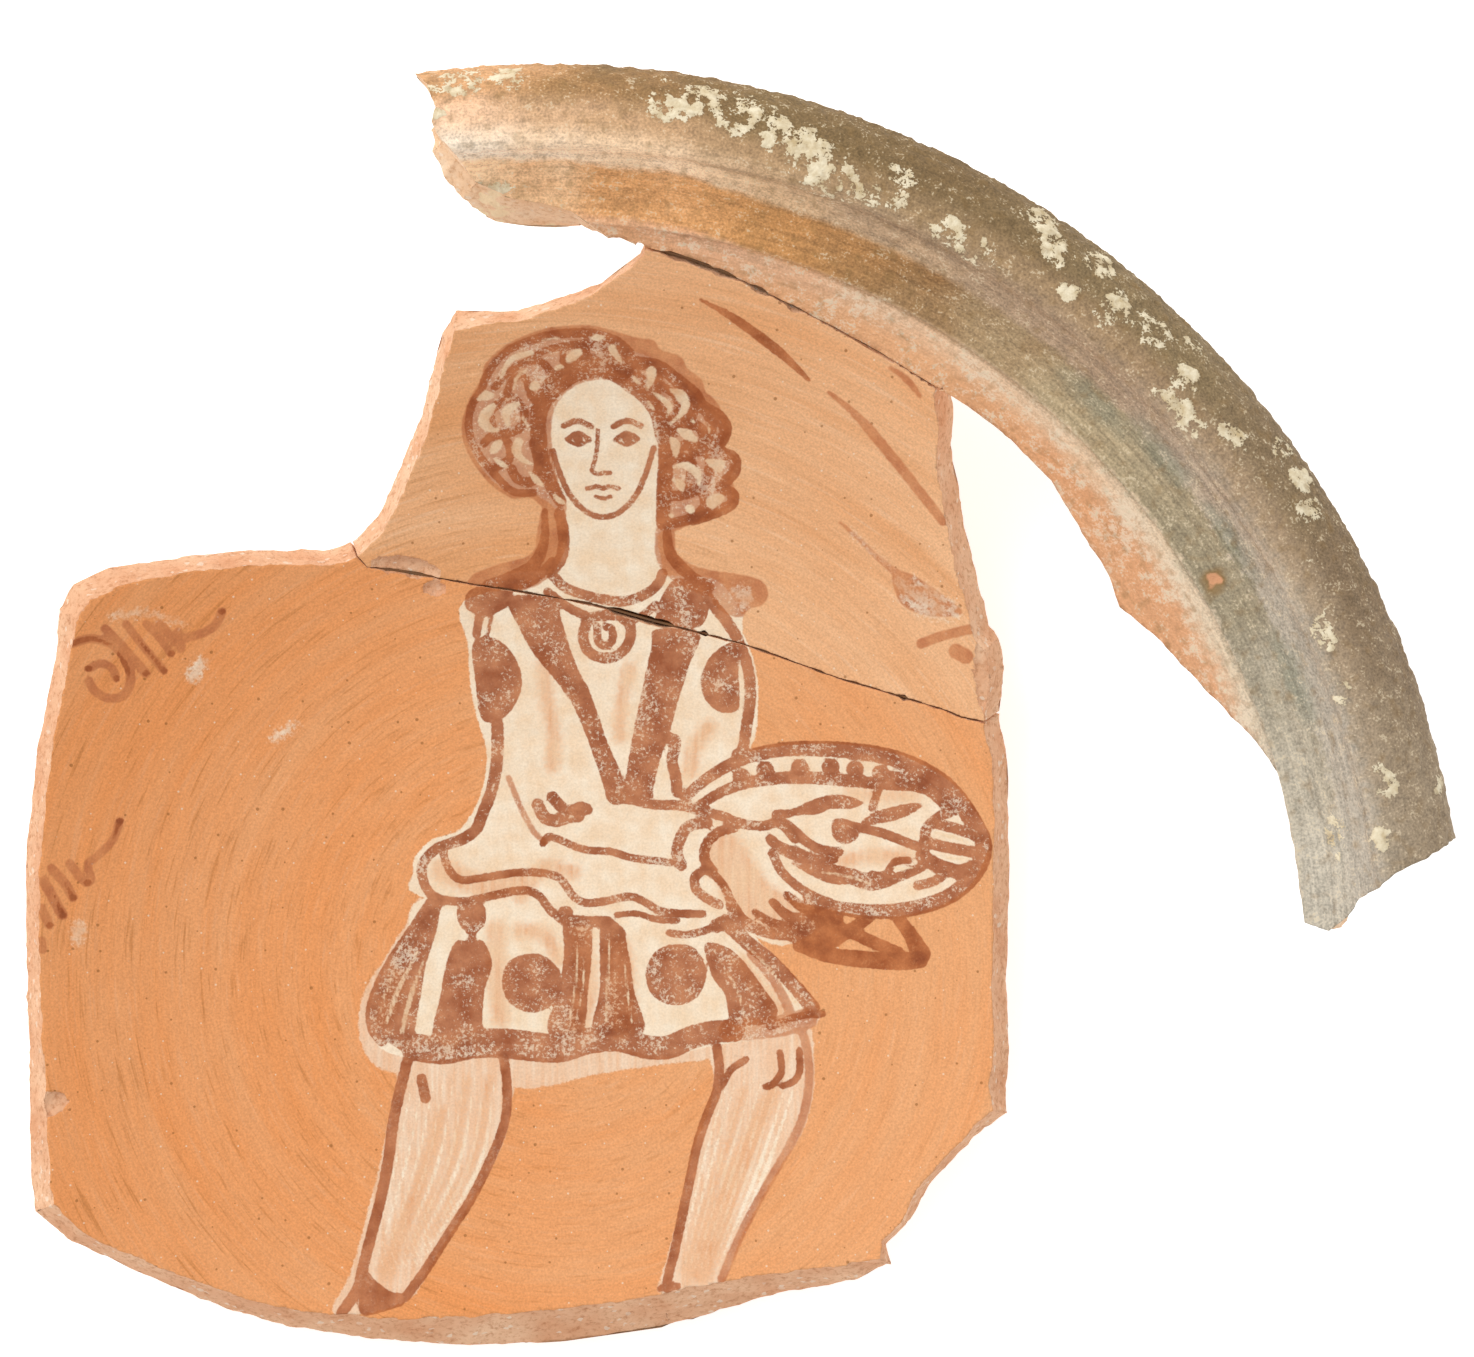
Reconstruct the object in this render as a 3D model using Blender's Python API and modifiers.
"""Three mended sherds of a large wheel-thrown earthenware bowl with a moulded rim.

The bowl is turned once as a whole profile. Each sherd is that bowl cut along its own break line,
and two thin films of adhesive stand in the joins between the sherds.
Lengths below are in millimetres, the mesh is in metres, +Z is up and the bowl's axis is the Z axis.
"""

import math

import bmesh
import bpy

MM = 0.001

# Bowl as thrown
LIP_RADIUS = 180.0
BASE_RADIUS = 76.0
FLOOR_THICKNESS = 10.0
WALL_THICKNESS = 9.0
WALL_RISE = 56.0
WALL_POWER = 2.6
FOOT_HEIGHT = 6.5
FOOT_BEVEL = 1.2

# Rim moulding, measured outward and upward from the sharp edge (arris) where it starts inside
RIM_WIDTH = 32.0
ARRIS_STEP = 1.5
CAVETTO_WIDTH = 13.0
CAVETTO_POWER = 1.8
CREST_RISE = 16.0
CREST_ROUND = 3.5
LIP_ROLL = 3.5
UNDERCUT = 1.2
UNDERCUT_POWER = 3
THROWING_GROOVE = 0.4

# Turned facets, and which points of the cavetto lie in a groove
TURN_STEPS = 144
WALL_POINTS = 17
ARC_POINTS = 8
GROOVE_POINTS = (3, 6)
WELD = 0.01

# Joins between sherds
JOIN_GAP = 1.0
FILM_CLEARANCE = 0.3
FILM_INSET = 1.0
FILM_SETBACK = 1.5
FILM_LEAST_RADIUS = 44.0
KERF_OVERRUN = 1.5

# Break faces reach this far past both surfaces of the wall
BREAK_MARGIN = 2.0
CUTTER_REACH = 30.0
OUTSIDE_POINTS = 8

# Sizes that follow from the ones above
ARRIS_RADIUS = LIP_RADIUS - RIM_WIDTH
ARRIS_HEIGHT = FLOOR_THICKNESS + WALL_RISE
CREST_HEIGHT = ARRIS_HEIGHT + CREST_RISE
CREST_RADIUS = ARRIS_RADIUS + CAVETTO_WIDTH + CREST_ROUND
FILM_THICKNESS = JOIN_GAP - 2 * FILM_CLEARANCE

# Break lines, drawn in plan on the inner surface of a bowl with this arris radius.
# A third number leans the break outward below that point, beyond square to the wall.
DRAWN_ARRIS_RADIUS = 148.0
FLOOR_JOIN = (
    (-40.5, 83.5), (-38.5, 81.5), (-25.5, 79.5), (-17.0, 78.0), (-7.0, 76.5), (7.0, 74.0), (19.5, 70.5),
    (37.5, 66.0), (46.0, 63.0), (57.0, 59.0), (70.5, 55.0), (78.5, 52.5), (82.0, 51.0), (86.5, 50.0),
)
RIM_JOIN = (
    (18.5, 143.5), (26.0, 141.5), (33.0, 139.0), (38.0, 137.0), (47.0, 132.5), (65.0, 123.0),
    (71.5, 119.0), (75.5, 116.5),
)
UPPER_LEFT_BREAK = (
    (-35.5, 88.5), (-32.0, 94.5, 0.5), (-26.5, 106.5, 0.5), (-23.5, 115.5, 1.0), (-21.5, 123.0, 0.5),
    (-20.0, 128.5, -2.5), (-8.0, 130.5, -4.5), (0.5, 133.0, -4.5), (7.0, 135.5, -5.0), (14.0, 140.0, -4.5),
)
UPPER_RIGHT_BREAK = (
    (76.0, 113.0), (77.0, 108.5), (76.5, 102.0), (77.0, 98.5), (79.5, 86.0), (81.0, 80.0), (83.5, 71.5),
    (84.5, 67.0), (86.5, 64.5), (87.5, 59.0), (87.0, 53.0),
)
LOWER_BREAK = (
    (-46.0, 82.0), (-60.0, 82.0), (-73.0, 80.5), (-86.5, 78.0, 0.5), (-93.0, 74.5, 1.0), (-96.0, 70.0, 0.5),
    (-98.0, 61.0, -1.0), (-102.0, 42.0, -1.0), (-104.5, 20.0, -1.0), (-104.5, 2.0, -1.0), (-104.0, -14.0, -1.0),
    (-103.0, -27.0), (-102.5, -36.0, 0.5), (-101.0, -47.0, 1.0), (-95.5, -53.0, -0.5), (-80.5, -60.5),
    (-63.5, -67.0, 1.5), (-53.5, -69.5, 2.5), (-34.0, -71.5, 3.5), (-18.0, -71.0, 5.0), (0.0, -69.5, 5.5),
    (21.0, -66.5, 5.5), (39.5, -63.0, 3.0), (59.0, -60.5, 2.0), (66.0, -59.5, -1.0), (66.5, -56.0, -2.5),
    (70.5, -52.0, -2.5), (74.0, -45.0, -2.0), (77.5, -41.0, -2.0), (85.0, -33.0, -2.0), (89.0, -29.0, -0.5),
    (88.0, -23.5, 0.5), (89.0, -16.0), (88.5, -4.0), (89.0, 19.0), (89.0, 32.0, -0.5), (88.5, 43.0, -0.5),
)
RIM_LEFT_BREAK = (
    (13.5, 145.5), (9.5, 148.5, 8.5), (4.0, 151.5, 9.7), (-2.0, 153.0, 9.7), (-9.0, 154.0, 9.2),
    (-14.5, 156.5, 9.2), (-18.5, 160.5, 9.5), (-21.5, 164.0, 7.5), (-22.8, 167.0, 3.0), (-22.0, 170.0),
    (-24.0, 174.5), (-27.5, 178.5),
)
RIM_RIGHT_BREAK = (
    (83.0, 112.0), (90.5, 106.0), (98.5, 98.0), (105.0, 87.5), (110.0, 79.5), (112.5, 73.0), (120.5, 66.0),
    (129.0, 56.5), (138.5, 46.5), (143.0, 40.0), (145.5, 26.5), (147.5, 13.5), (149.0, 11.0), (153.5, 9.5),
    (156.5, 12.5), (158.5, 16.0), (164.5, 21.0), (171.5, 24.5), (177.0, 27.5),
)

# Flakes lost from the inner surface: plan place, turn in degrees, length, width and depth
FLAKES = {
    "upper_sherd": (((88.5, 58.0), 95.0, 19.0, 9.0, 1.3), ((-31.0, 81.0), -10.0, 15.0, 6.0, 1.4)),
    "lower_sherd": (((-102.5, -27.0), 10.0, 9.0, 5.0, 1.0), ((-25.0, 77.2), -12.0, 5.0, 4.0, 0.8)),
    "rim_sherd": (),
}
FLAKE_BALL_HEIGHT = 4.0
FLAKE_MERIDIANS = 20
FLAKE_PARALLELS = 10


def slope_at(radius):
    """Slope of the inner surface in radians. Past the arris it fades to level across the cavetto."""
    inside = min(radius, ARRIS_RADIUS)
    slope = math.atan(WALL_POWER * WALL_RISE / ARRIS_RADIUS * (inside / ARRIS_RADIUS) ** (WALL_POWER - 1.0))
    past = max(0.0, radius - ARRIS_RADIUS) / CAVETTO_WIDTH
    return slope * max(0.0, 1.0 - past)


def inner_height(radius):
    """Height of the inner surface, carried on level past the arris."""
    return FLOOR_THICKNESS + WALL_RISE * (min(radius, ARRIS_RADIUS) / ARRIS_RADIUS) ** WALL_POWER


def below_surface(radius, depth):
    """Radius and height of the point this deep under the inner surface, square to it."""
    slope = slope_at(radius)
    return radius + depth * math.sin(slope), inner_height(radius) - depth * math.cos(slope)


def quarter(centre, width, height, start):
    """Points of an elliptical quarter, turned clockwise from the start angle in degrees."""
    points = []
    for i in range(1, ARC_POINTS + 1):
        angle = math.radians(start - 90.0 * i / ARC_POINTS)
        points.append((centre[0] + width * math.cos(angle), centre[1] + height * math.sin(angle)))
    return points


def bowl_profile():
    """The whole section: up the inside, over the rim, down the outside and back along the base."""
    profile = []
    for i in range(WALL_POINTS + 1):
        radius = ARRIS_RADIUS * i / WALL_POINTS
        profile.append((radius, inner_height(radius)))

    # The moulding stands proud of the wall, hollows out as a grooved cavetto, then rounds over the crest
    band_foot = ARRIS_HEIGHT + ARRIS_STEP
    band_rise = CREST_HEIGHT - CREST_ROUND - band_foot
    profile.append((ARRIS_RADIUS, band_foot))
    for i in range(1, ARC_POINTS + 1):
        share = i / ARC_POINTS
        groove = THROWING_GROOVE if i in GROOVE_POINTS else 0.0
        height = band_foot + band_rise * share**CAVETTO_POWER - groove
        profile.append((ARRIS_RADIUS + CAVETTO_WIDTH * share, height))
    profile += quarter((CREST_RADIUS, CREST_HEIGHT - CREST_ROUND), CREST_ROUND, CREST_ROUND, 180.0)

    # The outer side droops to the lip, which rolls under to a slightly hollow underside
    lip_height = ARRIS_HEIGHT
    profile += quarter((CREST_RADIUS, lip_height), LIP_RADIUS - CREST_RADIUS, CREST_RISE, 90.0)
    profile += quarter((LIP_RADIUS - LIP_ROLL, lip_height), LIP_ROLL, LIP_ROLL, 0.0)
    wall_top = below_surface(ARRIS_RADIUS, WALL_THICKNESS)
    lip_under = profile[-1]
    for i in range(1, ARC_POINTS):
        share = i / ARC_POINTS
        radius = lip_under[0] + (wall_top[0] - lip_under[0]) * share
        level = lip_under[1] + (wall_top[1] - lip_under[1]) * share**UNDERCUT_POWER
        profile.append((radius, level + UNDERCUT * math.sin(math.pi * share)))

    # The outer wall lies square behind the inner one down to the foot of the disc base
    foot_top = BASE_RADIUS + FOOT_BEVEL
    wall_foot = foot_top + WALL_THICKNESS / 2
    for i in range(WALL_POINTS, 0, -1):
        outside = below_surface(ARRIS_RADIUS * i / WALL_POINTS, WALL_THICKNESS)
        if outside[0] > wall_foot and outside[1] > FOOT_HEIGHT:
            profile.append(outside)
    profile.append((foot_top + FOOT_BEVEL, FOOT_HEIGHT + FOOT_BEVEL))
    profile.append((foot_top, FOOT_HEIGHT))
    profile.append((foot_top, FOOT_BEVEL))
    profile.append((BASE_RADIUS, 0.0))
    profile.append((0.0, 0.0))
    return profile


def film_profile():
    """A closed section inside the wall, a little short of both surfaces."""
    shallow = []
    deep = []
    for i in range(WALL_POINTS + 1):
        radius = ARRIS_RADIUS * i / WALL_POINTS
        if radius > FILM_LEAST_RADIUS:
            shallow.append(below_surface(radius, FILM_INSET))
            deep.append(below_surface(radius, WALL_THICKNESS - FILM_INSET))
    return shallow + deep[::-1] + shallow[:1]


def collection(name):
    made = bpy.data.collections.new(name)
    bpy.context.scene.collection.children.link(made)
    return made


def material(name, colour, roughness):
    made = bpy.data.materials.new(name)
    made.use_nodes = True
    shader = made.node_tree.nodes["Principled BSDF"]
    shader.inputs["Base Color"].default_value = (*colour, 1.0)
    shader.inputs["Roughness"].default_value = roughness
    shader.inputs["Metallic"].default_value = 0.0
    return made


def turned(name, profile, finish):
    """A section in the XZ plane with a Screw modifier that turns it about the bowl's axis."""
    mesh = bpy.data.meshes.new(name)
    shape = bmesh.new()
    corners = [shape.verts.new((radius * MM, 0.0, height * MM)) for radius, height in profile]
    for first, second in zip(corners, corners[1:]):
        shape.edges.new((first, second))
    bmesh.ops.remove_doubles(shape, verts=shape.verts, dist=WELD * MM)
    shape.to_mesh(mesh)
    shape.free()
    mesh.materials.append(finish)
    made = bpy.data.objects.new(name, mesh)
    parts.objects.link(made)
    made.parent = bowl_axis
    screw = made.modifiers.new("turned", "SCREW")
    screw.axis = "Z"
    screw.steps = TURN_STEPS
    screw.render_steps = TURN_STEPS
    screw.use_merge_vertices = True
    screw.merge_threshold = 2 * WELD * MM
    screw.use_smooth_shade = True
    return made


def drawn(points):
    """A break line at the bowl's real size, each point as x, y and lean."""
    scale = ARRIS_RADIUS / DRAWN_ARRIS_RADIUS
    return [(p[0] * scale, p[1] * scale, p[2] if len(p) > 2 else 0.0) for p in points]


def turned_direction(point, angle):
    x, y = point
    return x * math.cos(angle) - y * math.sin(angle), x * math.sin(angle) + y * math.cos(angle)


def side_of(before, after):
    """Unit vector to the right of the way from one plan point to another."""
    run = (after[0] - before[0], after[1] - before[1])
    length = math.hypot(*run)
    return run[1] / length, -run[0] / length


def break_cutter(name, loop):
    """A closed cutter through the wall. Its loop runs anticlockwise in plan on the inner surface."""
    top = (CREST_HEIGHT + CUTTER_REACH) * MM
    bottom = -CUTTER_REACH * MM
    rings = [[], [], [], []]
    shape = bmesh.new()
    for i, (x, y, lean) in enumerate(loop):
        radius = math.hypot(x, y)
        out = side_of(loop[i - 1], loop[(i + 1) % len(loop)])
        near, near_height = below_surface(radius, -BREAK_MARGIN)
        far, far_height = below_surface(radius, WALL_THICKNESS + BREAK_MARGIN)
        inner = (x * near / radius, y * near / radius)
        outer = (x * far / radius + out[0] * lean, y * far / radius + out[1] * lean)
        rings[0].append(shape.verts.new((inner[0] * MM, inner[1] * MM, top)))
        rings[1].append(shape.verts.new((inner[0] * MM, inner[1] * MM, near_height * MM)))
        rings[2].append(shape.verts.new((outer[0] * MM, outer[1] * MM, far_height * MM)))
        rings[3].append(shape.verts.new((outer[0] * MM, outer[1] * MM, bottom)))
    for upper, lower in zip(rings, rings[1:]):
        for i in range(len(upper)):
            shape.faces.new((upper[i - 1], lower[i - 1], lower[i], upper[i]))
    shape.faces.new(rings[0])
    shape.faces.new(rings[3][::-1])
    bmesh.ops.triangulate(shape, faces=shape.faces)
    return cutter(name, shape)


def cutter(name, shape):
    bmesh.ops.recalc_face_normals(shape, faces=shape.faces)
    mesh = bpy.data.meshes.new(name)
    shape.to_mesh(mesh)
    shape.free()
    made = bpy.data.objects.new(name, mesh)
    made.hide_render = True
    made.display_type = "WIRE"
    cutters.objects.link(made)
    return made


def strip(line, width, overrun):
    """The loop of a strip this wide along an open line, run past both its ends, or short of them if negative."""
    points = [point[:2] for point in line]
    ends = []
    for end, inside in ((points[0], points[1]), (points[-1], points[-2])):
        length = math.dist(end, inside)
        share = overrun / length
        ends.append((end[0] + (end[0] - inside[0]) * share, end[1] + (end[1] - inside[1]) * share))
    points[0], points[-1] = ends
    right = []
    left = []
    for i, point in enumerate(points):
        out = side_of(points[max(i - 1, 0)], points[min(i + 1, len(points) - 1)])
        right.append((point[0] + out[0] * width / 2, point[1] + out[1] * width / 2, 0.0))
        left.append((point[0] - out[0] * width / 2, point[1] - out[1] * width / 2, 0.0))
    return right + left[::-1]


def cut(piece, operation, tool):
    boolean = piece.modifiers.new(tool.name, "BOOLEAN")
    boolean.operation = operation
    boolean.solver = "EXACT"
    boolean.object = tool


def flake(name, place, turn, length, width, depth):
    """A shallow scoop: a ball stretched over the place, so that it takes this depth of the inner surface."""
    shape = bmesh.new()
    bmesh.ops.create_uvsphere(shape, u_segments=FLAKE_MERIDIANS, v_segments=FLAKE_PARALLELS, radius=1.0)
    rise = FLAKE_BALL_HEIGHT - depth
    at_surface = math.sqrt(1.0 - (rise / FLAKE_BALL_HEIGHT) ** 2)
    size = (length / 2 / at_surface, width / 2 / at_surface, FLAKE_BALL_HEIGHT)
    (x, y, _), = drawn((place,))
    radius = math.hypot(x, y)
    slope = slope_at(radius)
    height = inner_height(radius)
    outward = math.atan2(y, x)
    for vert in shape.verts:
        across = turned_direction((vert.co.x * size[0], vert.co.y * size[1]), math.radians(turn) - outward)
        lifted = vert.co.z * size[2] + rise
        out = across[0] * math.cos(slope) - lifted * math.sin(slope)
        up = across[0] * math.sin(slope) + lifted * math.cos(slope)
        plan = turned_direction((radius + out, across[1]), outward)
        vert.co = (plan[0] * MM, plan[1] * MM, (height + up) * MM)
    return cutter(name, shape)


def sherd(name, loop, joins, finish):
    """The turned bowl inside one break loop, set back from each join and scooped by its lost flakes."""
    made = turned(name, bowl_profile(), finish)
    cut(made, "INTERSECT", break_cutter(name + "_break", loop))
    for kerf in joins:
        cut(made, "DIFFERENCE", kerf)
    for i, values in enumerate(FLAKES[name]):
        cut(made, "DIFFERENCE", flake(f"{name}_flake_{i}", *values))
    return made


def film(name, line, finish):
    """A thin sheet of adhesive that fills most of a join, short of both surfaces and both ends."""
    made = turned(name, film_profile(), finish)
    cut(made, "INTERSECT", break_cutter(name + "_strip", strip(line, FILM_THICKNESS, -FILM_SETBACK)))
    return made


def past_lip(line_end):
    """A point outside the bowl in the direction of the last point of a rim break."""
    share = (LIP_RADIUS + CUTTER_REACH) / math.hypot(line_end[0], line_end[1])
    return line_end[0] * share, line_end[1] * share, 0.0


def outside_arc(start, end):
    """Points round the outside of the lip between two points past it."""
    first = math.atan2(start[1], start[0])
    last = math.atan2(end[1], end[0])
    radius = math.hypot(start[0], start[1])
    points = []
    for i in range(1, OUTSIDE_POINTS):
        angle = first + (last - first) * i / OUTSIDE_POINTS
        points.append((radius * math.cos(angle), radius * math.sin(angle), 0.0))
    return points


for leftover in list(bpy.data.objects):
    bpy.data.objects.remove(leftover, do_unlink=True)

parts = collection("painted_bowl")
cutters = collection("painted_bowl_cutters")
bowl_axis = bpy.data.objects.new("bowl_axis", None)
parts.objects.link(bowl_axis)

orange_slip = material("orange_slip_earthenware", (0.67, 0.27, 0.09), 0.75)
pale_slip = material("pale_orange_slip_earthenware", (0.70, 0.30, 0.13), 0.75)
smoked_rim = material("smoked_rim_earthenware", (0.25, 0.19, 0.12), 0.7)
resin = material("aged_adhesive", (0.10, 0.05, 0.03), 0.4)

floor_join = drawn(FLOOR_JOIN)
rim_join = drawn(RIM_JOIN)
floor_kerf = break_cutter("floor_join_gap", strip(floor_join, JOIN_GAP, KERF_OVERRUN))
rim_kerf = break_cutter("rim_join_gap", strip(rim_join, JOIN_GAP, KERF_OVERRUN))

# Lower sherd: most of the floor and the whole disc base, down the left side and back up the right
lower_loop = drawn(LOWER_BREAK) + floor_join[::-1]
sherd("lower_sherd", lower_loop, (floor_kerf,), orange_slip)

# Upper sherd: floor and wall between the two joins, up its right side and down its left
upper_loop = floor_join + drawn(UPPER_RIGHT_BREAK)[::-1] + rim_join[::-1] + drawn(UPPER_LEFT_BREAK)[::-1]
sherd("upper_sherd", upper_loop, (floor_kerf, rim_kerf), pale_slip)

# Rim sherd: a quarter of the moulded rim with the top of the wall under it
right_break = drawn(RIM_RIGHT_BREAK)
left_break = drawn(RIM_LEFT_BREAK)
right_corner = past_lip(right_break[-1])
left_corner = past_lip(left_break[-1])
around_lip = [right_corner] + outside_arc(right_corner, left_corner) + [left_corner]
rim_loop = rim_join + right_break + around_lip + left_break[::-1]
sherd("rim_sherd", rim_loop, (rim_kerf,), smoked_rim)

film("floor_join_adhesive", floor_join, resin)
film("rim_join_adhesive", rim_join, resin)
